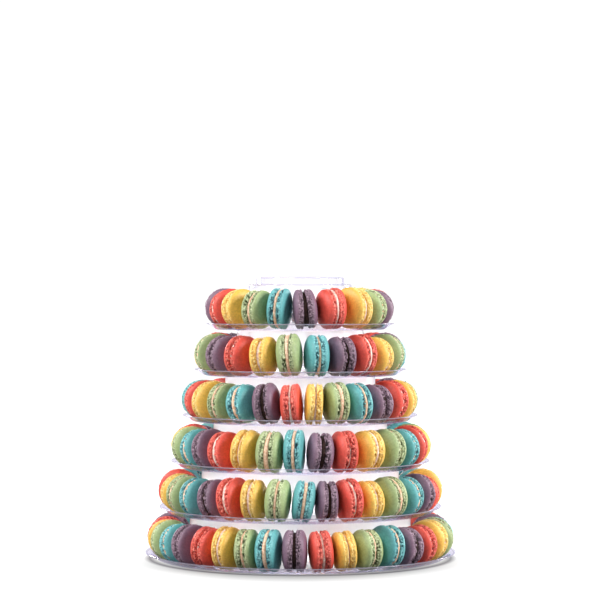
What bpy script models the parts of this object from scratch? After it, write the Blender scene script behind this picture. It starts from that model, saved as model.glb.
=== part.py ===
"""Macaron tower: six clear plastic ring trays stacked on one another, each holding a ring of macarons on edge.

Metres, +Z up. The origin is the centre of the bottom tray's underside, which lies at z = 0. Tiers count from the
bottom. Each tray is one thin formed piece: a rim, a round channel that the macarons stand in, a riser inside their
ring, a shoulder that carries the next tray, and a collar that the next tray drops over. A ring's macarons lean
against one another, so each ring is one solid, joined only over the small patch where neighbours really touch.
"""
import math
import random

import bmesh
import bpy
from mathutils import Matrix, Vector

# Stand: every tray has the same section, set further in by one step on each tier.
TIER_PITCH = 0.050            # one tray's underside to the next
RING_RADIUS = 0.1465          # axis to the centres of the bottom tier's macarons
RING_STEP = 0.0129            # how much smaller the ring is on each tier
WALL = 0.001
CLEARANCE = 0.0003            # between pieces that touch
TRAY_SEGMENTS = 24

# Tray section: distances from the ring radius, positive outward, and heights above the tray's underside.
RIM_REACH = 0.021
BASE_RIM_EXTRA = 0.0025       # the bottom tray's wider rim
CHANNEL_TOP_REACH = 0.0185
FLOOR_OUTER_REACH = 0.0105
FLOOR_INNER_REACH = -0.0145
RISER_FOOT_REACH = -0.025
SHOULDER_REACH = -0.0252
COLLAR_REACH = -0.0338
FLOOR_HEIGHT = WALL
RIM_HEIGHT = 0.007
RISER_FOOT_HEIGHT = 0.019
SHOULDER_HEIGHT = TIER_PITCH - CLEARANCE
COLLAR_HEIGHT = 0.0575

# Rings of macarons: how many stand on a tier, the bearing in degrees of the first (0 is the front, + to the
# right), and the seed of the ring's unevenness.
RINGS = (
    {"count": 36, "first": -179.9, "seed": 16666},
    {"count": 33, "first": -173.8, "seed": 3145},
    {"count": 29, "first": 84.6, "seed": 844},
    {"count": 27, "first": -74.1, "seed": 7102},
    {"count": 22, "first": -57.8, "seed": 18263},
    {"count": 19, "first": 80.9, "seed": 96},
)
WIDTH_SPREAD = 0.12           # how much a macaron's share of the ring varies, either way
MACARON_RADIUS = 0.0225
RADIUS_SPREAD = 0.001
RADIAL_SHIFT = 0.0003         # how far a macaron stands out of line, either way
LEAN = math.radians(8)        # most sideways lean
TURN = math.radians(3)        # most turn about the upright

# One macaron in a ring: a drum round the filling and the shells' edges, with each dome tapering to the contact
# patch, which lies on the ring's inner side because the discs fan out.
EDGE_HALF_WIDTH = 0.0068
EDGE_SIDES = 12
CONTACT_REACH = -0.007
CONTACT_RADIUS = 0.0085
CONTACT_SIDES = 4

PLASTIC = {"colour": (0.90, 0.89, 0.92), "roughness": 0.08}
SHELLS = ((0.90, 0.60, 0.24), (0.50, 0.52, 0.27), (0.17, 0.48, 0.50), (0.22, 0.13, 0.19), (0.80, 0.14, 0.12))
SHELL_ROUGHNESS = 0.75


def clear_scene():
    for item in list(bpy.data.objects):
        bpy.data.objects.remove(item, do_unlink=True)


def make_collection(name):
    collection = bpy.data.collections.new(name)
    bpy.context.scene.collection.children.link(collection)
    return collection


def make_material(name, colour, roughness):
    material = bpy.data.materials.new(name)
    material.use_nodes = True
    shader = material.node_tree.nodes["Principled BSDF"]
    shader.inputs["Base Color"].default_value = (*colour, 1)
    shader.inputs["Roughness"].default_value = roughness
    shader.inputs["Metallic"].default_value = 0
    material.diffuse_color = (*colour, 1)
    return material


def ring_radius(tier):
    return RING_RADIUS - tier * RING_STEP


# ---------------------------------------------------------------- trays

def tray_top_line(tier):
    """The tray's upper surface from the middle of the collar's top out and down to the rim, as radius and height."""
    centre = ring_radius(tier)
    rim = centre + RIM_REACH + (BASE_RIM_EXTRA if tier == 0 else 0)
    return [
        Vector((0, COLLAR_HEIGHT)),
        Vector((centre + COLLAR_REACH, COLLAR_HEIGHT)),
        Vector((centre + COLLAR_REACH, SHOULDER_HEIGHT)),
        Vector((centre + SHOULDER_REACH, SHOULDER_HEIGHT)),
        Vector((centre + RISER_FOOT_REACH, RISER_FOOT_HEIGHT)),
        Vector((centre + FLOOR_INNER_REACH, FLOOR_HEIGHT)),
        Vector((centre + FLOOR_OUTER_REACH, FLOOR_HEIGHT)),
        Vector((centre + CHANNEL_TOP_REACH, RIM_HEIGHT)),
        Vector((rim, RIM_HEIGHT)),
    ]


def parallel_line(points, distance):
    """The line a distance to the right of a line of points, with mitred corners and its ends square."""
    normals = []
    for start, end in zip(points, points[1:]):
        along = (end - start).normalized()
        normals.append(Vector((along.y, -along.x)))
    moved = [points[0] + distance * normals[0]]
    for before, after, corner in zip(normals, normals[1:], points[1:-1]):
        moved.append(corner + distance * (before + after) / (1 + before.dot(after)))
    moved.append(points[-1] + distance * normals[-1])
    return moved


def build_tray(tier, collection):
    top = tray_top_line(tier)
    section = top + parallel_line(top, WALL)[::-1]
    mesh = bpy.data.meshes.new(f"tray_{tier + 1}")
    edges = [(index, index + 1) for index in range(len(section) - 1)]
    mesh.from_pydata([(radius, 0, height) for radius, height in section], edges, [])
    tray = bpy.data.objects.new(mesh.name, mesh)
    tray.location.z = tier * TIER_PITCH
    collection.objects.link(tray)
    turning = tray.modifiers.new("turning", "SCREW")
    turning.axis = "Z"
    turning.angle = 2 * math.pi
    turning.steps = TRAY_SEGMENTS
    turning.render_steps = TRAY_SEGMENTS
    turning.use_merge_vertices = True
    turning.merge_threshold = 0.0001
    turning.use_smooth_shade = False
    mesh.materials.append(make_material(mesh.name, PLASTIC["colour"], PLASTIC["roughness"]))


# ---------------------------------------------------------------- macarons

def ring_places(tier):
    """Each macaron's middle bearing, share of the turn, radius, lean, turn and radial shift, in radians and metres."""
    ring = RINGS[tier]
    draw = random.Random(ring["seed"])
    count = ring["count"]
    shares = [draw.uniform(1 - WIDTH_SPREAD, 1 + WIDTH_SPREAD) for _ in range(count)]
    slants = [draw.uniform(-1, 1) for _ in range(count)]
    widths = [2 * math.pi * share / sum(shares) for share in shares]
    bearing = math.radians(ring["first"]) - widths[0] / 2
    places = []
    for index, width in enumerate(widths):
        places.append({
            "bearing": bearing + width / 2,
            "width": width,
            "radius": MACARON_RADIUS + draw.uniform(-RADIUS_SPREAD, RADIUS_SPREAD),
            "lean": LEAN * (slants[index] + slants[index - 1]) / 2,
            "turn": draw.uniform(-TURN, TURN),
            "shift": draw.uniform(-RADIAL_SHIFT, RADIAL_SHIFT),
        })
        bearing += width
    return places


def upright_turn(bearing):
    """Turns local X to point outward at a bearing, local Y along the ring and local Z up."""
    return Matrix.Rotation(bearing - math.pi / 2, 4, "Z")


def rest_height(place):
    """Height of a macaron's centre above the tray's underside when its lowest edge just clears the channel floor."""
    lean = abs(place["lean"])
    return FLOOR_HEIGHT + CLEARANCE + place["radius"] * math.cos(lean) + EDGE_HALF_WIDTH * math.sin(lean)


def macaron_frame(tier, place):
    outward = Vector((ring_radius(tier) + place["shift"], 0, rest_height(place)))
    return (
        upright_turn(place["bearing"])
        @ Matrix.Translation(outward)
        @ Matrix.Rotation(place["turn"], 4, "Z")
        @ Matrix.Rotation(place["lean"], 4, "X")
    )


def contact_frame(tier, place, following):
    """Frame of the patch between two neighbours: local Y is its normal, and its lean is midway between theirs."""
    lean = (place["lean"] + following["lean"]) / 2
    height = (rest_height(place) + rest_height(following)) / 2
    return (
        upright_turn(place["bearing"] + place["width"] / 2)
        @ Matrix.Translation(Vector((ring_radius(tier) + CONTACT_REACH, 0, height)))
        @ Matrix.Rotation(lean, 4, "X")
    )


def add_loop(bm, frame, radius, sides, offset):
    """A ring of vertices round a frame's local Y, starting at its outward side."""
    corners = []
    for step in range(sides):
        angle = 2 * math.pi * step / sides
        corners.append(bm.verts.new(frame @ Vector((radius * math.cos(angle), offset, radius * math.sin(angle)))))
    return corners


def bridge_loops(bm, first, second):
    """Triangles between two rings of vertices that start at the same side, whatever their numbers."""
    taken_first = 0
    taken_second = 0
    while taken_first < len(first) or taken_second < len(second):
        corner = first[taken_first % len(first)]
        opposite = second[taken_second % len(second)]
        share_first = (taken_first + 0.5) / len(first)
        share_second = (taken_second + 0.5) / len(second)
        if share_first <= share_second:
            taken_first += 1
            bm.faces.new((corner, first[taken_first % len(first)], opposite))
        else:
            taken_second += 1
            bm.faces.new((corner, second[taken_second % len(second)], opposite))


def build_ring(tier, collection):
    places = ring_places(tier)
    bm = bmesh.new()
    patches = []
    for index, place in enumerate(places):
        following = places[(index + 1) % len(places)]
        patches.append(add_loop(bm, contact_frame(tier, place, following), CONTACT_RADIUS, CONTACT_SIDES, 0))
    for index, place in enumerate(places):
        frame = macaron_frame(tier, place)
        near_edge = add_loop(bm, frame, place["radius"], EDGE_SIDES, -EDGE_HALF_WIDTH)
        far_edge = add_loop(bm, frame, place["radius"], EDGE_SIDES, EDGE_HALF_WIDTH)
        loops = [patches[index - 1], near_edge, far_edge, patches[index]]
        for start, end in zip(loops, loops[1:]):
            bridge_loops(bm, start, end)
    bmesh.ops.recalc_face_normals(bm, faces=bm.faces)
    mesh = bpy.data.meshes.new(f"macarons_{tier + 1}")
    bm.to_mesh(mesh)
    bm.free()
    ring = bpy.data.objects.new(mesh.name, mesh)
    ring.location.z = tier * TIER_PITCH
    collection.objects.link(ring)
    mesh.materials.append(make_material(mesh.name, SHELLS[tier % len(SHELLS)], SHELL_ROUGHNESS))


def main():
    clear_scene()
    collection = make_collection("macaron_tower")
    for tier in range(len(RINGS)):
        build_tray(tier, collection)
        build_ring(tier, collection)


main()
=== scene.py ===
"""Macaron tower: the looks of six clear plastic trays and the 166 macarons that stand on edge in them.

Metres, +Z up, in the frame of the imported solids. Tiers count from the bottom. Every macaron is two baked
shells with a ruffled foot and a filling between them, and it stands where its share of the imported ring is.
The shells of one colour on one tier are one piece, and so are the fillings of one kind on one tier.
"""
import math
import random

import bpy
from mathutils import Matrix, Vector, noise


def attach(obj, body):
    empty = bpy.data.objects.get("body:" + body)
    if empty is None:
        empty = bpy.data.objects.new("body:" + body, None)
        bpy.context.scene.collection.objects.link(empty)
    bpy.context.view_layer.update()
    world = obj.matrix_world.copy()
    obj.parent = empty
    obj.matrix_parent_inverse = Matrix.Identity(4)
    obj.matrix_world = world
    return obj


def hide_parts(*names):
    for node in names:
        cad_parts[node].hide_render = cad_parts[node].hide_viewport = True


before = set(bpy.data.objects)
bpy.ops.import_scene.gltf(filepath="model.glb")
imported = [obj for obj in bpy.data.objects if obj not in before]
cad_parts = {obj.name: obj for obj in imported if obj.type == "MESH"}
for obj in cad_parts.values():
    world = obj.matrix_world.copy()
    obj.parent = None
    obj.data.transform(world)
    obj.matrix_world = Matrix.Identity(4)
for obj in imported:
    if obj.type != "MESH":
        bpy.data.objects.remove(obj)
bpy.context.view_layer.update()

# Stand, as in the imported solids.
TIER_PITCH = 0.050
RING_RADIUS = 0.1465
RING_STEP = 0.0129
WALL = 0.001
CLEARANCE = 0.0003
RIM_REACH = 0.021
BASE_RIM_EXTRA = 0.0025
CHANNEL_TOP_REACH = 0.0185
FLOOR_OUTER_REACH = 0.0105
FLOOR_INNER_REACH = -0.0145
RISER_FOOT_REACH = -0.025
SHOULDER_REACH = -0.0252
COLLAR_REACH = -0.0338
FLOOR_HEIGHT = WALL
RIM_HEIGHT = 0.007
RISER_FOOT_HEIGHT = 0.019
SHOULDER_HEIGHT = TIER_PITCH - CLEARANCE
COLLAR_HEIGHT = 0.0575

# Tray surfaces.
TRAY_SEGMENTS = 128
CORNER_RADIUS = 0.0022
CORNER_STEPS = 3
CORNER_SHARE = 0.45                     # the most of a side that the curve at its end takes up
CUT_EDGE_SHARES = (0.35, 0.65)          # where the rim's cut edge is cut in, as shares of the wall
CUT_EDGE_DEPTH = 0.0001
LID_HEIGHT = 0.0445                     # the top tray is quite clear above this

# Rings of macarons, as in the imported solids, with the first one's colour and where the order skips colours.
RINGS = (
    {"count": 36, "first": -179.9, "seed": 16666, "colour": 0, "skip": 0, "skip_at": 0},
    {"count": 33, "first": -173.8, "seed": 3145, "colour": 1, "skip": 0, "skip_at": 0},
    {"count": 29, "first": 84.6, "seed": 844, "colour": 0, "skip": 1, "skip_at": 28},
    {"count": 27, "first": -74.1, "seed": 7102, "colour": 4, "skip": 2, "skip_at": 20},
    {"count": 22, "first": -57.8, "seed": 18263, "colour": 3, "skip": 2, "skip_at": 12},
    {"count": 19, "first": 80.9, "seed": 96, "colour": 3, "skip": 0, "skip_at": 0},
)
WIDTH_SPREAD = 0.12
MACARON_RADIUS = 0.0225
RADIUS_SPREAD = 0.001
RADIAL_SHIFT = 0.0003
LEAN = math.radians(8)
TURN = math.radians(3)
EDGE_HALF_WIDTH = 0.0068
CONTACT_REACH = -0.007

# One shell: its foot rises from the filling, a pitted groove parts it from the lip, and the dome closes it.
FOOT_COLUMNS = 108
DOME_COLUMNS = 36
CROWN_COLUMNS = 18
CROWDING = 0.4                          # how much closer the columns are on the side that shows
CROWDED_SIDE = math.radians(25)         # up from straight outward
FOOT_LINE = (
    # share of the foot's height, how far inside the macaron's radius, how ruffled, which also sets the
    # crests' painted highlight, and how deep the pits go, which also sets their painted shade
    {"up": 0.00, "inset": 0.0045, "ruffle": 0.3, "pit": 0.0},
    {"up": 0.06, "inset": 0.0026, "ruffle": 0.7, "pit": 0.6},
    {"up": 0.15, "inset": 0.0010, "ruffle": 1.0, "pit": 0.9},
    {"up": 0.26, "inset": 0.0001, "ruffle": 1.0, "pit": 1.0},
    {"up": 0.38, "inset": 0.0003, "ruffle": 0.9, "pit": 0.9},
    {"up": 0.50, "inset": 0.0008, "ruffle": 0.7, "pit": 0.7},
    {"up": 0.62, "inset": 0.0010, "ruffle": 0.6, "pit": 0.7},
    {"up": 0.74, "inset": 0.0006, "ruffle": 0.6, "pit": 0.4},
    {"up": 0.86, "inset": 0.0003, "ruffle": 0.4, "pit": 0.1},
    {"up": 1.00, "inset": 0.0005, "ruffle": 0.1, "pit": 0.0},
)
LIP_INSET = 0.0005
DOME_ANGLES = (14, 29, 45, 62)          # degrees up the dome from its lip
CROWN_ANGLE = 77
DOME_POWER = 2.7                        # 2 would be an ellipse, and more is flatter in the middle
FOOT_HEIGHT = (0.0048, 0.0060)          # least and most
DOME_HEIGHT_MOST = 0.0072
SHELL_TILT = (0.2, 0.85)                # least and most, as shares of the tilt that shuts the gap at one side
SHELL_SHIFT = 0.0004
NEIGHBOUR_GAP = 0.0001
RUFFLE_DEPTH = 0.0009
RUFFLE_LENGTH = 0.0028
PIT_DEPTH = 0.0022
PIT_LENGTH = 0.0025
PIT_WIDTH = 0.0015
PIT_GAIN = 4.5                          # how hard the pits' edges are
PIT_BIAS = 0.3                          # how much of the foot they take up
PIT_SPREAD_LENGTH = 0.012
PIT_SPREAD_SWING = 1.6
PIT_SPREAD_LEAST = 0.25
PITTING_SPREAD = (0.55, 1.25)           # least and most, as shares of what is usual for the colour
# How sharply the painted highlight on the ruffles' crests comes in.
CREST_GAIN = 2
WAVE_DEPTH = 0.0006
WAVE_LENGTH = 0.007
WAVE_FROM = 0.3                         # share of the foot's height where the wave sets in
LIP_FROM = 0.9                          # share of the foot's height where the lip starts
LIP_FOOT_SHARE = 0.35                   # how much the lip looks like the foot
DOME_UNEVENNESS = 0.00018
DOME_UNEVEN_LENGTH = 0.011
OUT_OF_ROUND = 0.0005
OFFSET_MOST = 9                         # how far apart in the noise two macarons may lie

FILLING_COLUMNS = 48
FILLING_SINK = 0.00015                  # how far the filling reaches into the shells
FILLING_INSET = 0.0003
FILLING_SWELL_MOST = 0.0005
FILLING_WAVE = (3, 0.0006)              # how fine and how deep
FILLING_LUMPS = (12, 0.0002)

COLOURS = ("yellow", "green", "teal", "purple", "red")
FILLING_OF = {"yellow": "white", "green": "peach", "teal": "peach", "purple": "dark", "red": "white"}
# Least and most of the filling's half width and of how far its edge lies inside the shells' edges, and how
# pitted the shells are.
KINDS = {
    "yellow": {"half_gap": (0.0005, 0.0011), "recess": (0.0018, 0.0042), "pitting": 0.7},
    "green": {"half_gap": (0.0008, 0.0015), "recess": (0.0014, 0.0026), "pitting": 1.15},
    "teal": {"half_gap": (0.0009, 0.0016), "recess": (0.0014, 0.0026), "pitting": 1.15},
    "purple": {"half_gap": (0.0012, 0.0018), "recess": (0.0030, 0.0044), "pitting": 0.85},
    "red": {"half_gap": (0.0007, 0.0013), "recess": (0.0016, 0.0040), "pitting": 0.9},
}

# Linear colours: the dome, the ruffled foot, a painted highlight for its crests and painted shade for the
# bottoms of its pits.
SHELL_COLOURS = {
    "yellow": {
        "dome": (0.79, 0.465, 0.082),
        "foot": (0.90, 0.60, 0.16),
        "painted_crest_highlight": (1.0, 0.82, 0.42),
        "pit": (0.58, 0.26, 0.035),
    },
    "green": {
        "dome": (0.33, 0.42, 0.19),
        "foot": (0.43, 0.51, 0.27),
        "painted_crest_highlight": (0.72, 0.77, 0.50),
        "pit": (0.05, 0.07, 0.02),
    },
    "teal": {
        "dome": (0.11, 0.38, 0.39),
        "foot": (0.16, 0.47, 0.49),
        "painted_crest_highlight": (0.42, 0.80, 0.80),
        "pit": (0.01, 0.06, 0.09),
    },
    "purple": {
        "dome": (0.20, 0.115, 0.17),
        "foot": (0.26, 0.165, 0.22),
        "painted_crest_highlight": (0.46, 0.34, 0.41),
        "pit": (0.018, 0.009, 0.014),
    },
    "red": {
        "dome": (0.70, 0.08, 0.055),
        "foot": (0.80, 0.12, 0.09),
        "painted_crest_highlight": (1.0, 0.36, 0.28),
        "pit": (0.26, 0.012, 0.01),
    },
}
FILLING_COLOURS = {
    "white": {"cream": (0.92, 0.76, 0.68), "shade": (0.74, 0.50, 0.42), "roughness": 0.55},
    "peach": {"cream": (0.92, 0.65, 0.47), "shade": (0.74, 0.42, 0.26), "roughness": 0.6},
    "dark": {"cream": (0.034, 0.013, 0.009), "shade": (0.010, 0.004, 0.003), "roughness": 0.7},
}

# The shells' tone and relief: each noise's scale and detail, and its range and what that is mapped to.
MOTTLE = {"noise": (170, 2), "tones": (0.3, 0.7, 0.93, 1.06)}
SPECKLE = {"noise": (520, 2), "tones": (0.35, 0.65, 0.90, 1.08)}
GRAIN = {"noise": (1500, 3), "tones": (0.3, 0.7, 0.95, 1.04)}
# Crumb noise: small pits, sunk in the bump and darkened as painted shade, and lighter crumbs that are a
# painted highlight.
CRUMB = {"noise": (640, 2), "pits": (0.56, 0.65, 0, 0.9), "painted_highlights": (0.36, 0.46, 0.75, 0)}
OWN_TONES = (-1, 1, 0.93, 1.04)         # from one macaron to another
# How much of the crests' painted highlight shows.
CREST_STRENGTH = 0.9
SHELL_ROUGHNESS = (0.5, 0.78)           # the dome's and the foot's
GRAIN_RELIEF = (0.18, 0.55)             # the same
SPECKLE_RELIEF = 0.3
SHELL_BUMP = (0.6, 0.0005)              # strength and distance
SHELL_GLOSS = 0.45

CREAM_LUMPS = (900, 3)
CREAM_SPECKS = {"noise": (450, 2), "tones": (0.44, 0.62, 0, 1)}
CREAM_BUMP = (0.6, 0.0006)
CREAM_GLOSS = 0.25

# Clear sheet: its tint head-on and edge-on, how much it mirrors head-on, how hazy it is and its haze's
# colour. The channel and rim, the rim's cut edge, and the riser are slots 0 to 2 of a tray.
SHEETS = {
    "clear_sheet": {
        "head_on": (0.985, 0.982, 0.992),
        "edge_on": (0.80, 0.78, 0.89),
        "mirror": 0.035,
        "haze": 0.045,
        "milk": (0.985, 0.98, 0.988),
    },
    "clear_sheet_edge": {
        "head_on": (0.76, 0.74, 0.83),
        "edge_on": (0.52, 0.49, 0.62),
        "mirror": 0.05,
        "haze": 0.55,
        "milk": (0.60, 0.57, 0.69),
    },
    "clear_riser": {
        "head_on": (0.99, 0.988, 0.992),
        "edge_on": (0.86, 0.85, 0.90),
        "mirror": 0.03,
        "haze": 0.9,
        "milk": (0.985, 0.98, 0.988),
    },
}
CHANNEL_SLOT, EDGE_SLOT, RISER_SLOT = range(len(SHEETS))
GLOSS = (0.86, 0.84, 0.95)              # the tint of what the sheet mirrors
MIRROR_MOST = 0.9                       # how much it mirrors edge-on
MIRROR_POWER = 5
TINT_POWER = 3
MILK_THROUGH = 0.6                      # the share of the haze that glows with the light from behind
RIPPLE = (45, 1)
RIPPLE_BUMP = (0.12, 0.001)


def ring_radius(tier):
    return RING_RADIUS - tier * RING_STEP


# ---------------------------------------------------------------- meshes

def new_piece(name, points, faces, materials, face_slots=None, layers=None):
    """A smooth-shaded mesh object. layers are named numbers, one for each point."""
    mesh = bpy.data.meshes.new(name)
    mesh.from_pydata(points, [], faces)
    for material in materials:
        mesh.materials.append(material)
    if face_slots is not None:
        mesh.polygons.foreach_set("material_index", face_slots)
    for layer, values in (layers or {}).items():
        attribute = mesh.attributes.new(layer, "FLOAT", "POINT")
        attribute.data.foreach_set("value", values)
    mesh.polygons.foreach_set("use_smooth", [True] * len(mesh.polygons))
    mesh.update()
    piece = bpy.data.objects.new(name, mesh)
    bpy.context.scene.collection.objects.link(piece)
    return piece


def bridge(first, second):
    """Faces between two closed loops of points that start at the same side, seen with the second below."""
    if len(first) == len(second):
        following = list(range(1, len(first))) + [0]
        return [(first[a], first[b], second[b], second[a]) for a, b in enumerate(following)]
    faces = []
    taken_first = 0
    taken_second = 0
    while taken_first < len(first) or taken_second < len(second):
        corner = first[taken_first % len(first)]
        opposite = second[taken_second % len(second)]
        if (taken_first + 0.5) / len(first) <= (taken_second + 0.5) / len(second):
            taken_first += 1
            faces.append((corner, first[taken_first % len(first)], opposite))
        else:
            taken_second += 1
            faces.append((corner, second[taken_second % len(second)], opposite))
    return faces


def fan(loop, middle):
    return [(loop[index - 1], loop[index], middle) for index in range(len(loop))]


def turned(faces):
    return [face[::-1] for face in faces]


# ---------------------------------------------------------------- trays

def tray_top_line(tier):
    """The tray's upper surface from the middle of the collar's top out to the rim, as radius and height."""
    centre = ring_radius(tier)
    rim = centre + RIM_REACH + (BASE_RIM_EXTRA if tier == 0 else 0)
    return [
        Vector((0, COLLAR_HEIGHT)),
        Vector((centre + COLLAR_REACH, COLLAR_HEIGHT)),
        Vector((centre + COLLAR_REACH, SHOULDER_HEIGHT)),
        Vector((centre + SHOULDER_REACH, SHOULDER_HEIGHT)),
        Vector((centre + RISER_FOOT_REACH, RISER_FOOT_HEIGHT)),
        Vector((centre + FLOOR_INNER_REACH, FLOOR_HEIGHT)),
        Vector((centre + FLOOR_OUTER_REACH, FLOOR_HEIGHT)),
        Vector((centre + CHANNEL_TOP_REACH, RIM_HEIGHT)),
        Vector((rim, RIM_HEIGHT)),
    ]


def parallel_line(points, distance):
    """The line a distance to the right of a line of points, with mitred corners and its ends square."""
    normals = []
    for start, end in zip(points, points[1:]):
        along = (end - start).normalized()
        normals.append(Vector((along.y, -along.x)))
    moved = [points[0] + distance * normals[0]]
    for before, after, corner in zip(normals, normals[1:], points[1:-1]):
        moved.append(corner + distance * (before + after) / (1 + before.dot(after)))
    moved.append(points[-1] + distance * normals[-1])
    return moved


def rounded_line(points, radius, steps):
    """The same line with each corner replaced by a curve that starts and ends a radius away from it."""
    line = [points[0]]
    for before, corner, after in zip(points, points[1:], points[2:]):
        reach_in = min(radius, CORNER_SHARE * (corner - before).length)
        reach_out = min(radius, CORNER_SHARE * (after - corner).length)
        start = corner + (before - corner).normalized() * reach_in
        end = corner + (after - corner).normalized() * reach_out
        for step in range(steps + 1):
            share = step / steps
            line.append((1 - share) ** 2 * start + 2 * share * (1 - share) * corner + share ** 2 * end)
    line.append(points[-1])
    return line


def cut_line(points, height):
    """The same line with one more point where it comes down through a height."""
    line = [points[0]]
    for start, end in zip(points, points[1:]):
        if start.y > height > end.y:
            line.append(start + (end - start) * (start.y - height) / (start.y - end.y))
        line.append(end)
    return line


def build_tray(tier, materials):
    """One formed sheet turned about the axis, milky at the riser and, but for the top tray's, over it."""
    corners = tray_top_line(tier)
    top = cut_line(rounded_line(corners, CORNER_RADIUS, CORNER_STEPS), LID_HEIGHT)
    under = cut_line(rounded_line(parallel_line(corners, WALL), CORNER_RADIUS, CORNER_STEPS), LID_HEIGHT)
    milky_top = LID_HEIGHT if tier == len(RINGS) - 1 else math.inf
    edge = [top[-1] + Vector((0, -WALL * share)) + Vector((-CUT_EDGE_DEPTH, 0)) for share in CUT_EDGE_SHARES]
    section = top[1:] + edge + under[::-1][:-1]
    edge_rows = range(len(top) - 2, len(top) + len(edge))
    lift = tier * TIER_PITCH
    points = []
    for radius, height in section:
        for segment in range(TRAY_SEGMENTS):
            angle = 2 * math.pi * segment / TRAY_SEGMENTS
            points.append((radius * math.cos(angle), radius * math.sin(angle), height + lift))
    loops = [list(range(row * TRAY_SEGMENTS, (row + 1) * TRAY_SEGMENTS)) for row in range(len(section))]
    top_middle = len(points)
    points.append((0, 0, top[0].y + lift))
    under_middle = len(points)
    points.append((0, 0, under[0].y + lift))
    faces = []
    slots = []
    for row, (start, end) in enumerate(zip(loops, loops[1:])):
        band = turned(bridge(start, end))
        faces += band
        middle = (section[row] + section[row + 1]) / 2
        slot = RISER_SLOT if RISER_FOOT_HEIGHT < middle.y < milky_top else CHANNEL_SLOT
        slots += [EDGE_SLOT if row in edge_rows else slot] * len(band)
    caps = fan(loops[0], top_middle) + turned(fan(loops[-1], under_middle))
    faces += caps
    slots += [RISER_SLOT if COLLAR_HEIGHT < milky_top else CHANNEL_SLOT] * len(caps)
    tray = new_piece(f"clear_tray_{tier + 1}", points, faces, materials, slots)
    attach(tray, "root")
    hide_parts(f"tray_{tier + 1}")


# ---------------------------------------------------------------- places of the macarons

def ring_places(tier):
    """Each macaron's bearing, share of the turn, size, lean and shift, in radians and metres, and colour."""
    ring = RINGS[tier]
    draw = random.Random(ring["seed"])
    count = ring["count"]
    shares = [draw.uniform(1 - WIDTH_SPREAD, 1 + WIDTH_SPREAD) for _ in range(count)]
    slants = [draw.uniform(-1, 1) for _ in range(count)]
    widths = [2 * math.pi * share / sum(shares) for share in shares]
    bearing = math.radians(ring["first"]) - widths[0] / 2
    places = []
    for index, width in enumerate(widths):
        skipped = ring["skip"] if index >= ring["skip_at"] else 0
        places.append({
            "bearing": bearing + width / 2,
            "width": width,
            "radius": MACARON_RADIUS + draw.uniform(-RADIUS_SPREAD, RADIUS_SPREAD),
            "lean": LEAN * (slants[index] + slants[index - 1]) / 2,
            "turn": draw.uniform(-TURN, TURN),
            "shift": draw.uniform(-RADIAL_SHIFT, RADIAL_SHIFT),
            "colour": COLOURS[(ring["colour"] + index + skipped) % len(COLOURS)],
        })
        bearing += width
    return places


def upright_turn(bearing):
    """Turns local X to point outward at a bearing, local Y along the ring and local Z up."""
    return Matrix.Rotation(bearing - math.pi / 2, 4, "Z")


def rest_height(place):
    """Height of a macaron's centre above the tray's underside when its lowest edge clears the channel."""
    lean = abs(place["lean"])
    return FLOOR_HEIGHT + CLEARANCE + place["radius"] * math.cos(lean) + EDGE_HALF_WIDTH * math.sin(lean)


def macaron_frame(tier, place):
    outward = Vector((ring_radius(tier) + place["shift"], 0, rest_height(place)))
    return (
        upright_turn(place["bearing"])
        @ Matrix.Translation(outward)
        @ Matrix.Rotation(place["turn"], 4, "Z")
        @ Matrix.Rotation(place["lean"], 4, "X")
    )


def contact_frame(tier, place, following):
    """Frame of the plane between two neighbours: local Y is its normal, and it leans midway between them."""
    lean = (place["lean"] + following["lean"]) / 2
    height = (rest_height(place) + rest_height(following)) / 2
    return (
        upright_turn(place["bearing"] + place["width"] / 2)
        @ Matrix.Translation(Vector((ring_radius(tier) + CONTACT_REACH, 0, height)))
        @ Matrix.Rotation(lean, 4, "X")
    )


# ---------------------------------------------------------------- shells

def shell_topology():
    """Faces of a macaron's left shell, whose points run from the foot's rows to the crown and the base."""
    counts = [FOOT_COLUMNS] * len(FOOT_LINE) + [DOME_COLUMNS] * len(DOME_ANGLES) + [CROWN_COLUMNS]
    loops = []
    used = 0
    for count in counts:
        loops.append(list(range(used, used + count)))
        used += count
    faces = []
    for start, end in zip(loops, loops[1:]):
        faces += bridge(start, end)
    faces += fan(loops[-1], used)
    faces += turned(fan(loops[0], used + 1))
    return faces


def column_bearing(column, columns):
    """Bearing of a column round a shell, 0 straight outward. They are closer on the side that shows."""
    even = 2 * math.pi * column / columns
    return even - CROWDING * math.sin(even - CROWDED_SIDE)


def dome_share(angle):
    """Radius and height of a point on the dome, as shares of the whole, from its angle up from the lip."""
    return math.cos(angle) ** (2 / DOME_POWER), math.sin(angle)


def dome_rows():
    rows = [(math.radians(angle), DOME_COLUMNS) for angle in DOME_ANGLES]
    return rows + [(math.radians(CROWN_ANGLE), CROWN_COLUMNS)]


def dome_height(shell_frame, side, radius, lip, plane):
    """The most that a dome may rise above its lip before it crosses the plane halfway to the neighbour."""
    normal = side * plane.col[1].to_3d()
    beyond = plane.translation
    per_metre = side * normal.dot(shell_frame.col[1].to_3d())
    least = DOME_HEIGHT_MOST
    for angle, columns in dome_rows() + [(math.pi / 2, 1)]:
        radial, up = dome_share(angle)
        for column in range(columns):
            bearing = column_bearing(column, columns)
            flat = Vector((radius * radial * math.cos(bearing), 0, radius * radial * math.sin(bearing)))
            room = -NEIGHBOUR_GAP - normal.dot(shell_frame @ flat - beyond)
            least = min(least, (room / per_metre - lip) / up)
    return least - DOME_UNEVENNESS


def noise_offset(draw):
    """A place in the noise, different for each shell and filling."""
    return Vector((draw.uniform(0, OFFSET_MOST), draw.uniform(0, OFFSET_MOST), draw.uniform(0, OFFSET_MOST)))


def out_of_round(bearing, oval):
    return OUT_OF_ROUND * (0.5 + 0.5 * math.sin(2 * bearing + oval))


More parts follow.
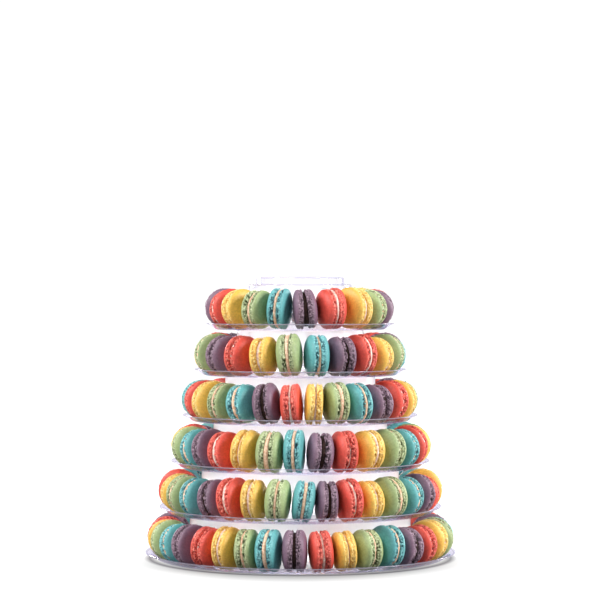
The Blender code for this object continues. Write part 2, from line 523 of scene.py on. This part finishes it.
def pit_depth(around, offset):
    """How deep a spot on the foot lies in a pit, from 0 to 1, and how pitted that part of the foot is."""
    pocket = Vector((around.x / PIT_LENGTH, around.y / PIT_WIDTH, around.z / PIT_LENGTH))
    hole = min(1, max(0, PIT_GAIN * noise.noise(pocket + 2 * offset) + PIT_BIAS))
    spread = noise.noise(around / PIT_SPREAD_LENGTH + 3 * offset)
    return hole, max(PIT_SPREAD_LEAST, 1 + PIT_SPREAD_SWING * spread)


def shell_shape(side, shell_frame, look, plane):
    """Points of one shell in its own frame, with how much of each is foot and how deep it lies in a pit,
    which sets its painted shade; a value below 0 is the painted highlight of a ruffle's crest.
    """
    draw = look["draw"]
    radius = look["radius"]
    foot = look["foot"]
    base = look["half_gap"]
    lip = base + foot
    dome_radius = radius - LIP_INSET
    height = dome_height(shell_frame, side, dome_radius, lip, plane)
    offset = noise_offset(draw)
    oval = draw.uniform(0, 2 * math.pi)
    pitting = draw.uniform(*PITTING_SPREAD) * look["pitting"]
    points = []
    foot_share = []
    pits = []
    for row in FOOT_LINE:
        for column in range(FOOT_COLUMNS):
            bearing = column_bearing(column, FOOT_COLUMNS)
            along = base + foot * row["up"]
            around = Vector((radius * math.cos(bearing), along, radius * math.sin(bearing)))
            ruffle = noise.noise(around / RUFFLE_LENGTH + offset)
            hole, spread = pit_depth(around, offset)
            hole = hole * pitting * spread * row["pit"]
            painted_crest_highlight = min(1, max(0, CREST_GAIN * ruffle)) * row["ruffle"]
            reach = radius - row["inset"] + ruffle * row["ruffle"] * RUFFLE_DEPTH - hole * PIT_DEPTH
            reach -= out_of_round(bearing, oval)
            if row["up"] > WAVE_FROM:
                along += noise.noise(around / WAVE_LENGTH + offset) * WAVE_DEPTH
            points.append((reach * math.cos(bearing), side * along, reach * math.sin(bearing)))
            foot_share.append(1 if row["up"] < LIP_FROM else LIP_FOOT_SHARE)
            # A pit's depth sets its painted shade; a crest's painted highlight goes in below 0.
            pits.append(min(1, hole) if hole > 0 else -painted_crest_highlight)
    for angle, columns in dome_rows():
        radial, up = dome_share(angle)
        for column in range(columns):
            bearing = column_bearing(column, columns)
            reach = dome_radius * radial - out_of_round(bearing, oval) * radial
            around = Vector((reach * math.cos(bearing), lip + height * up, reach * math.sin(bearing)))
            uneven = noise.noise(around / DOME_UNEVEN_LENGTH + offset) * DOME_UNEVENNESS
            points.append((around.x, side * (around.y + uneven), around.z))
            foot_share.append(0)
            pits.append(0)
    points += [(0, side * (lip + height), 0), (0, side * base, 0)]
    foot_share += [0, 1]
    pits += [0, 0]
    return points, foot_share, pits


def macaron_look(tier, index, place):
    """What makes one macaron differ from the others of its colour."""
    draw = random.Random(1000 * tier + index)
    kind = KINDS[place["colour"]]
    return {
        "draw": draw,
        "radius": place["radius"] - RUFFLE_DEPTH / 2,
        "half_gap": draw.uniform(*kind["half_gap"]),
        "foot": draw.uniform(*FOOT_HEIGHT),
        "pitting": kind["pitting"],
        "tone": draw.uniform(-1, 1),
        "recess": draw.uniform(*kind["recess"]),
    }


def shell_turn(look):
    """A slight tilt and shift of a shell against its macaron."""
    draw = look["draw"]
    bearing = draw.uniform(0, 2 * math.pi)
    axis = Vector((math.cos(bearing), 0, math.sin(bearing)))
    tilt = Matrix.Rotation(draw.uniform(*SHELL_TILT) * look["half_gap"] / look["radius"], 4, axis)
    shift = Vector((draw.uniform(-SHELL_SHIFT, SHELL_SHIFT), 0, draw.uniform(-SHELL_SHIFT, SHELL_SHIFT)))
    return Matrix.Translation(shift) @ tilt


def filling_topology():
    loops = [list(range(row * FILLING_COLUMNS, (row + 1) * FILLING_COLUMNS)) for row in range(3)]
    faces = []
    for start, end in zip(loops, loops[1:]):
        faces += turned(bridge(start, end))
    faces += fan(loops[0], 3 * FILLING_COLUMNS)
    faces += turned(fan(loops[-1], 3 * FILLING_COLUMNS + 1))
    return faces


def filling_points(look, frames):
    """Points of a filling: three loops between the two shells' bases, and the middle of each end."""
    draw = look["draw"]
    offset = noise_offset(draw)
    wave_turns, wave_depth = FILLING_WAVE
    lump_turns, lump_depth = FILLING_LUMPS
    ends = []
    centres = []
    for side in (-1, 1):
        end_centre = Vector((0, side * (look["half_gap"] + FILLING_SINK), 0))
        loop = []
        for column in range(FILLING_COLUMNS):
            bearing = 2 * math.pi * column / FILLING_COLUMNS
            direction = Vector((math.cos(bearing), 0, math.sin(bearing)))
            uneven = noise.noise(direction * wave_turns + offset) * wave_depth
            uneven += noise.noise(direction * lump_turns + offset) * lump_depth
            flat = direction * (look["radius"] - look["recess"] - FILLING_INSET + uneven)
            loop.append(frames[side] @ (flat + end_centre))
        ends.append(loop)
        centres.append(frames[side] @ end_centre)
    hub = (centres[0] + centres[1]) / 2
    swell = draw.uniform(0, FILLING_SWELL_MOST)
    middle = [(first + second) / 2 for first, second in zip(*ends)]
    middle = [point + (point - hub).normalized() * swell for point in middle]
    return ends[0] + middle + ends[1] + centres


def add_to(store, key, points, faces, layers):
    """Joins one macaron's points and faces to the piece of its kind."""
    piece = store.setdefault(key, {"points": [], "faces": [], "layers": {}})
    start = len(piece["points"])
    piece["points"] += [tuple(point) for point in points]
    piece["faces"] += [tuple(corner + start for corner in face) for face in faces]
    for name, values in layers.items():
        piece["layers"].setdefault(name, []).extend(values)


def build_ring(tier, materials):
    places = ring_places(tier)
    left_faces = shell_topology()
    right_faces = turned(left_faces)
    hub_faces = filling_topology()
    planes = [contact_frame(tier, place, places[(i + 1) % len(places)]) for i, place in enumerate(places)]
    lift = Matrix.Translation((0, 0, tier * TIER_PITCH))
    shells = {}
    fillings = {}
    for index, place in enumerate(places):
        look = macaron_look(tier, index, place)
        own = macaron_frame(tier, place)
        shell_frames = {side: own @ shell_turn(look) for side in (-1, 1)}
        shapes = {}
        for side in (-1, 1):
            plane = planes[index] if side == 1 else planes[index - 1]
            points, foot_share, pits = shell_shape(side, shell_frames[side], look, plane)
            points = [shell_frames[side] @ Vector(point) for point in points]
            shapes[side] = (points, {"foot": foot_share, "pit": pits, "tone": [look["tone"]] * len(points)})
        lowest = min(point.z for side in (-1, 1) for point in shapes[side][0])
        settle = lift @ Matrix.Translation((0, 0, FLOOR_HEIGHT - lowest))
        for side in (-1, 1):
            points, layers = shapes[side]
            faces = right_faces if side == 1 else left_faces
            add_to(shells, place["colour"], [settle @ point for point in points], faces, layers)
        cream = [settle @ point for point in filling_points(look, shell_frames)]
        add_to(fillings, FILLING_OF[place["colour"]], cream, hub_faces, {"tone": [look["tone"]] * len(cream)})
    for colour, made in shells.items():
        add_food(f"shells_{colour}_{tier + 1}", made, tier, f"shell_{colour}", materials)
    for kind, made in fillings.items():
        add_food(f"filling_{kind}_{tier + 1}", made, tier, f"filling_{kind}", materials)


def add_food(name, made, tier, slot, materials):
    piece = new_piece(name, made["points"], made["faces"], [materials[slot]], layers=made["layers"])
    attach(piece, "root")
    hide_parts(f"macarons_{tier + 1}")


# ---------------------------------------------------------------- materials

def add_node(tree, kind, inputs=None, **settings):
    """A shader node. inputs gives a value or another node's output for each named or numbered input."""
    node = tree.nodes.new(kind)
    for name, value in settings.items():
        setattr(node, name, value)
    for key, value in (inputs or {}).items():
        if isinstance(value, bpy.types.NodeSocket):
            tree.links.new(value, node.inputs[key])
        else:
            node.inputs[key].default_value = value
    return node


def empty_material(name):
    material = bpy.data.materials.new(name)
    material.use_nodes = True
    material.node_tree.nodes.clear()
    return material, material.node_tree


def rgba(colour):
    return (*colour, 1)


def mix_colours(tree, factor, first, second):
    """The result of a colour mix. The two colours are inputs 6 and 7 of its node."""
    return add_node(tree, "ShaderNodeMix", {0: factor, 6: first, 7: second}, data_type="RGBA").outputs[2]


def mapped(tree, value, from_low, from_high, to_low, to_high):
    inputs = {0: value, 1: from_low, 2: from_high, 3: to_low, 4: to_high}
    return add_node(tree, "ShaderNodeMapRange", inputs).outputs[0]


def calculated(tree, operation, first, second):
    return add_node(tree, "ShaderNodeMath", {0: first, 1: second}, operation=operation).outputs[0]


def layer_value(tree, name):
    node = add_node(tree, "ShaderNodeAttribute", attribute_name=name, attribute_type="GEOMETRY")
    return node.outputs["Fac"]


def own_place(tree):
    return add_node(tree, "ShaderNodeTexCoord").outputs["Object"]


def noise_texture(tree, place, scale, detail):
    inputs = {"Vector": place, "Scale": scale, "Detail": detail}
    return add_node(tree, "ShaderNodeTexNoise", inputs).outputs[0]


def bumped(tree, height, strength, distance):
    inputs = {"Strength": strength, "Distance": distance, "Height": height}
    return add_node(tree, "ShaderNodeBump", inputs).outputs[0]


def add_surface(tree, shader):
    add_node(tree, "ShaderNodeOutputMaterial", {0: shader.outputs[0]})


def food_shader(tree, colour, roughness, gloss, normal):
    return add_node(tree, "ShaderNodeBsdfPrincipled", {
        "Base Color": colour,
        "Roughness": roughness,
        "Specular IOR Level": gloss,
        "Normal": normal,
    })


def shell_material(name, colours):
    """Baked almond meringue: a matt, faintly mottled dome and a rough foot, with painted shade in its pits
    and a painted highlight on its crests and some crumbs.
    """
    material, tree = empty_material(name)
    place = own_place(tree)
    foot = layer_value(tree, "foot")
    deep = layer_value(tree, "pit")
    tone = layer_value(tree, "tone")
    mottle = noise_texture(tree, place, *MOTTLE["noise"])
    speckle = noise_texture(tree, place, *SPECKLE["noise"])
    grain = noise_texture(tree, place, *GRAIN["noise"])
    crumb = noise_texture(tree, place, *CRUMB["noise"])
    # Small crumb pits are sunk in the bump and darkened as painted shade; the crests and some crumbs get a
    # painted highlight.
    crumb_pits_and_painted_shade = calculated(tree, "MULTIPLY", mapped(tree, crumb, *CRUMB["pits"]), foot)
    painted_crumb_highlights = calculated(tree, "MULTIPLY", mapped(tree, crumb, *CRUMB["painted_highlights"]), foot)
    painted_highlights = calculated(tree, "MAXIMUM", calculated(tree, "MULTIPLY", deep, -CREST_STRENGTH), painted_crumb_highlights)
    painted_pit_shade = calculated(tree, "MAXIMUM", crumb_pits_and_painted_shade, deep)
    crust = mix_colours(tree, foot, rgba(colours["dome"]), rgba(colours["foot"]))
    crust = mix_colours(tree, painted_highlights, crust, rgba(colours["painted_crest_highlight"]))
    crust = mix_colours(tree, painted_pit_shade, crust, rgba(colours["pit"]))
    shade = mapped(tree, mottle, *MOTTLE["tones"])
    shade = calculated(tree, "MULTIPLY", shade, mapped(tree, speckle, *SPECKLE["tones"]))
    shade = calculated(tree, "MULTIPLY", shade, mapped(tree, grain, *GRAIN["tones"]))
    shade = calculated(tree, "MULTIPLY", shade, mapped(tree, tone, *OWN_TONES))
    scaled = add_node(tree, "ShaderNodeVectorMath", {0: crust, "Scale": shade}, operation="SCALE").outputs[0]
    roughness = mapped(tree, foot, 0, 1, *SHELL_ROUGHNESS)
    relief = calculated(tree, "MULTIPLY", grain, mapped(tree, foot, 0, 1, *GRAIN_RELIEF))
    relief = calculated(tree, "ADD", relief, calculated(tree, "MULTIPLY", speckle, SPECKLE_RELIEF))
    relief = calculated(tree, "SUBTRACT", relief, crumb_pits_and_painted_shade)
    add_surface(tree, food_shader(tree, scaled, roughness, SHELL_GLOSS, bumped(tree, relief, *SHELL_BUMP)))
    return material


def filling_material(name, colours):
    """Piped cream or chocolate ganache, a little lumpy."""
    material, tree = empty_material(name)
    place = own_place(tree)
    lumps = noise_texture(tree, place, *CREAM_LUMPS)
    specks = noise_texture(tree, place, *CREAM_SPECKS["noise"])
    tone = mapped(tree, specks, *CREAM_SPECKS["tones"])
    cream = mix_colours(tree, tone, rgba(colours["cream"]), rgba(colours["shade"]))
    bump = bumped(tree, lumps, *CREAM_BUMP)
    add_surface(tree, food_shader(tree, cream, colours["roughness"], CREAM_GLOSS, bump))
    return material


def sheet_material(name, look):
    """Clear formed sheet: tinted where it is seen edge-on, glossy, and more or less milky."""
    material, tree = empty_material(name)
    ripple = noise_texture(tree, own_place(tree), *RIPPLE)
    bump = bumped(tree, ripple, *RIPPLE_BUMP)
    grazing = add_node(tree, "ShaderNodeLayerWeight", {"Blend": 0.5}).outputs["Facing"]
    tinted = calculated(tree, "POWER", grazing, TINT_POWER)
    tint = mix_colours(tree, tinted, rgba(look["head_on"]), rgba(look["edge_on"]))
    clear = add_node(tree, "ShaderNodeBsdfTransparent", {0: tint}).outputs[0]
    front_milk = add_node(tree, "ShaderNodeBsdfDiffuse", {0: rgba(look["milk"])}).outputs[0]
    back_milk = add_node(tree, "ShaderNodeBsdfTranslucent", {0: rgba(look["milk"])}).outputs[0]
    milk = add_node(tree, "ShaderNodeMixShader", {0: MILK_THROUGH, 1: front_milk, 2: back_milk}).outputs[0]
    body = add_node(tree, "ShaderNodeMixShader", {0: look["haze"], 1: clear, 2: milk}).outputs[0]
    gloss = add_node(tree, "ShaderNodeBsdfGlossy", {"Color": rgba(GLOSS), "Roughness": 0, "Normal": bump})
    mirror = calculated(tree, "POWER", grazing, MIRROR_POWER)
    mirror = mapped(tree, mirror, 0, 1, look["mirror"], MIRROR_MOST)
    add_surface(tree, add_node(tree, "ShaderNodeMixShader", {0: mirror, 1: body, 2: gloss.outputs[0]}))
    return material


def seen_or_mirrored(tree):
    """1 for what the camera sees straight, through clear sheet or mirrored in it, and 0 for other light."""
    path = add_node(tree, "ShaderNodeLightPath")
    return calculated(tree, "MAXIMUM", path.outputs["Is Camera Ray"], path.outputs["Is Singular Ray"])


def floor_material(name):
    """White table that, by its glow, looks brighter than the light it throws, the more so further from the
    tower's foot: the dimmer glow near the foot is a painted shadow.

    It is darkest in a narrow ring under the bottom tray's rim, a painted contact shadow, and its painted
    shadow lies a little to the front.
    """
    material, tree = empty_material(name)
    place = own_place(tree)
    from_axis = add_node(tree, "ShaderNodeVectorMath", {0: place}, operation="LENGTH").outputs["Value"]
    # A narrow ring under the bottom tray's rim gets a painted contact shadow in its colour and its glow.
    from_ring = calculated(tree, "SUBTRACT", from_axis, RIM_SHADE_RADIUS)
    from_ring = add_node(tree, "ShaderNodeMath", {0: from_ring}, operation="ABSOLUTE").outputs[0]
    outside_painted_shadow = mapped(tree, from_ring, 0, RIM_SHADE_REACH, 0, 1)
    tone = mix_colours(tree, outside_painted_shadow, rgba(RIM_SHADE_COLOUR), rgba(FLOOR_COLOUR))
    matt = add_node(tree, "ShaderNodeBsdfDiffuse", {"Color": tone}).outputs[0]
    inputs = {0: place, 1: GLOW_CENTRE}
    from_centre = add_node(tree, "ShaderNodeVectorMath", inputs, operation="DISTANCE").outputs["Value"]
    strength = mapped(tree, seen_or_mirrored(tree), 0, 1, FLOOR_FILL, 1)
    strength = calculated(tree, "MULTIPLY", strength, mapped(tree, outside_painted_shadow, 0, 1, RIM_SHADE_GLOW, 1))
    # The glow is lowest near the tower's foot: a painted shadow, centred a little to the front.
    glow = mapped(tree, from_centre, *GLOW_DISTANCES, *FLOOR_GLOW)
    strength = calculated(tree, "MULTIPLY", strength, glow)
    light = add_node(tree, "ShaderNodeEmission", {"Color": WHITE, "Strength": strength}).outputs[0]
    add_surface(tree, add_node(tree, "ShaderNodeAddShader", {0: matt, 1: light}))
    return material


def make_materials():
    made = {}
    for colour, colours in SHELL_COLOURS.items():
        made[f"shell_{colour}"] = shell_material(f"shell_{colour}_baked", colours)
    for kind, colours in FILLING_COLOURS.items():
        made[f"filling_{kind}"] = filling_material(f"filling_{kind}_cream", colours)
    for name, look in SHEETS.items():
        made[name] = sheet_material(name, look)
    return made


# ---------------------------------------------------------------- studio

WHITE = (1, 1, 1, 1)
CAMERA_PLACE = (-0.0003, -2.40, 0.2824)
CAMERA_LENS = 130.86
CAMERA_SENSOR = 36
CAMERA_CLIP = (0.05, 100)
SHEETS_SEEN_THROUGH = 48
FLOOR_SIZE = 40
FLOOR_DROP = 0.0002
FLOOR_COLOUR = (0.17, 0.17, 0.17)
FLOOR_GLOW = (0.28, 1.04)               # at the tower's foot and further away; the lower glow at the foot is a painted shadow
FLOOR_FILL = 0.42                       # the share of that glow that lights the tower
# centre of the painted shadow in the floor's glow, a little to the front
GLOW_CENTRE = (0, -0.05, 0)
GLOW_DISTANCES = (0.127, 0.190)         # where the glow starts to rise out of the painted shadow and where it ends
RIM_SHADE_COLOUR = (0.06, 0.05, 0.07)   # painted contact shadow: the floor's colour under the bottom tray's rim, where next to no light gets
# The painted contact shadow dims the glow to this share, and lies at this radius and this far either side.
RIM_SHADE_GLOW = 0.35
RIM_SHADE_RADIUS = 0.165
RIM_SHADE_REACH = 0.007
AMBIENT = 0.015                         # the world's light on the tower
BACKDROP = 1.05                         # the same where it is seen
SOFTBOX_AIM = (0, 0, 0.15)
SOFTBOXES = {
    "left_softbox": {"place": (-2.32, -0.63, 1.95), "size": 1.2, "power": 79},
    "right_softbox": {"place": (2.51, -0.91, 1.51), "size": 1.3, "power": 115},
    "front_softbox": {"place": (-1.2, -2.0, 2.0), "size": 1.3, "power": 44},
    "back_left_softbox": {"place": (-1.7, 2.4, 0.8), "size": 0.9, "power": 50},
    "back_right_softbox": {"place": (2.2, 1.9, 0.8), "size": 0.9, "power": 50},
}
INNER_LIGHT_RADIUS = 0.01
INNER_LIGHT_HEIGHT = 0.030
INNER_LIGHT_POWERS = (0.63, 0.45, 0.30, 0.175, 0.165, 0.05)


def add_softbox(name, look):
    data = bpy.data.lights.new(name, "AREA")
    data.shape = "DISK"
    data.size = look["size"]
    data.energy = look["power"]
    light = bpy.data.objects.new(name, data)
    light.location = look["place"]
    direction = Vector(SOFTBOX_AIM) - Vector(look["place"])
    light.rotation_euler = direction.to_track_quat("-Z", "Y").to_euler()
    bpy.context.scene.collection.objects.link(light)


def add_inner_light(tier):
    """Stands for the light that the stack of clear sheets passes on into a tray's hollow."""
    data = bpy.data.lights.new(f"inner_light_{tier + 1}", "POINT")
    data.shadow_soft_size = INNER_LIGHT_RADIUS
    data.energy = INNER_LIGHT_POWERS[tier]
    light = bpy.data.objects.new(data.name, data)
    light.location = (0, 0, tier * TIER_PITCH + INNER_LIGHT_HEIGHT)
    light.visible_camera = False
    light.visible_glossy = False
    bpy.context.scene.collection.objects.link(light)


def make_floor():
    half = FLOOR_SIZE / 2
    corners = [(x, y, -FLOOR_DROP) for x, y in ((-half, -half), (half, -half), (half, half), (-half, half))]
    floor = new_piece("floor", corners, [(0, 1, 2, 3)], [floor_material("floor_white")])


def make_world():
    world = bpy.data.worlds.new("studio")
    world.use_nodes = True
    tree = world.node_tree
    background = tree.nodes["Background"]
    background.inputs["Color"].default_value = WHITE
    strength = mapped(tree, seen_or_mirrored(tree), 0, 1, AMBIENT, BACKDROP)
    tree.links.new(strength, background.inputs["Strength"])
    bpy.context.scene.world = world


def make_camera():
    scene = bpy.context.scene
    data = bpy.data.cameras.new("camera")
    data.lens = CAMERA_LENS
    data.sensor_width = CAMERA_SENSOR
    data.clip_start, data.clip_end = CAMERA_CLIP
    camera = bpy.data.objects.new("camera", data)
    camera.location = CAMERA_PLACE
    camera.rotation_euler = (math.radians(90), 0, 0)
    scene.collection.objects.link(camera)
    scene.camera = camera
    scene.view_settings.view_transform = "Standard"
    scene.cycles.transparent_max_bounces = SHEETS_SEEN_THROUGH


def main():
    materials = make_materials()
    sheets = [materials[name] for name in SHEETS]
    for tier in range(len(RINGS)):
        build_tray(tier, sheets)
        build_ring(tier, materials)
    make_floor()
    make_world()
    for name, look in SOFTBOXES.items():
        add_softbox(name, look)
    for tier in range(len(RINGS)):
        add_inner_light(tier)
    make_camera()


main()
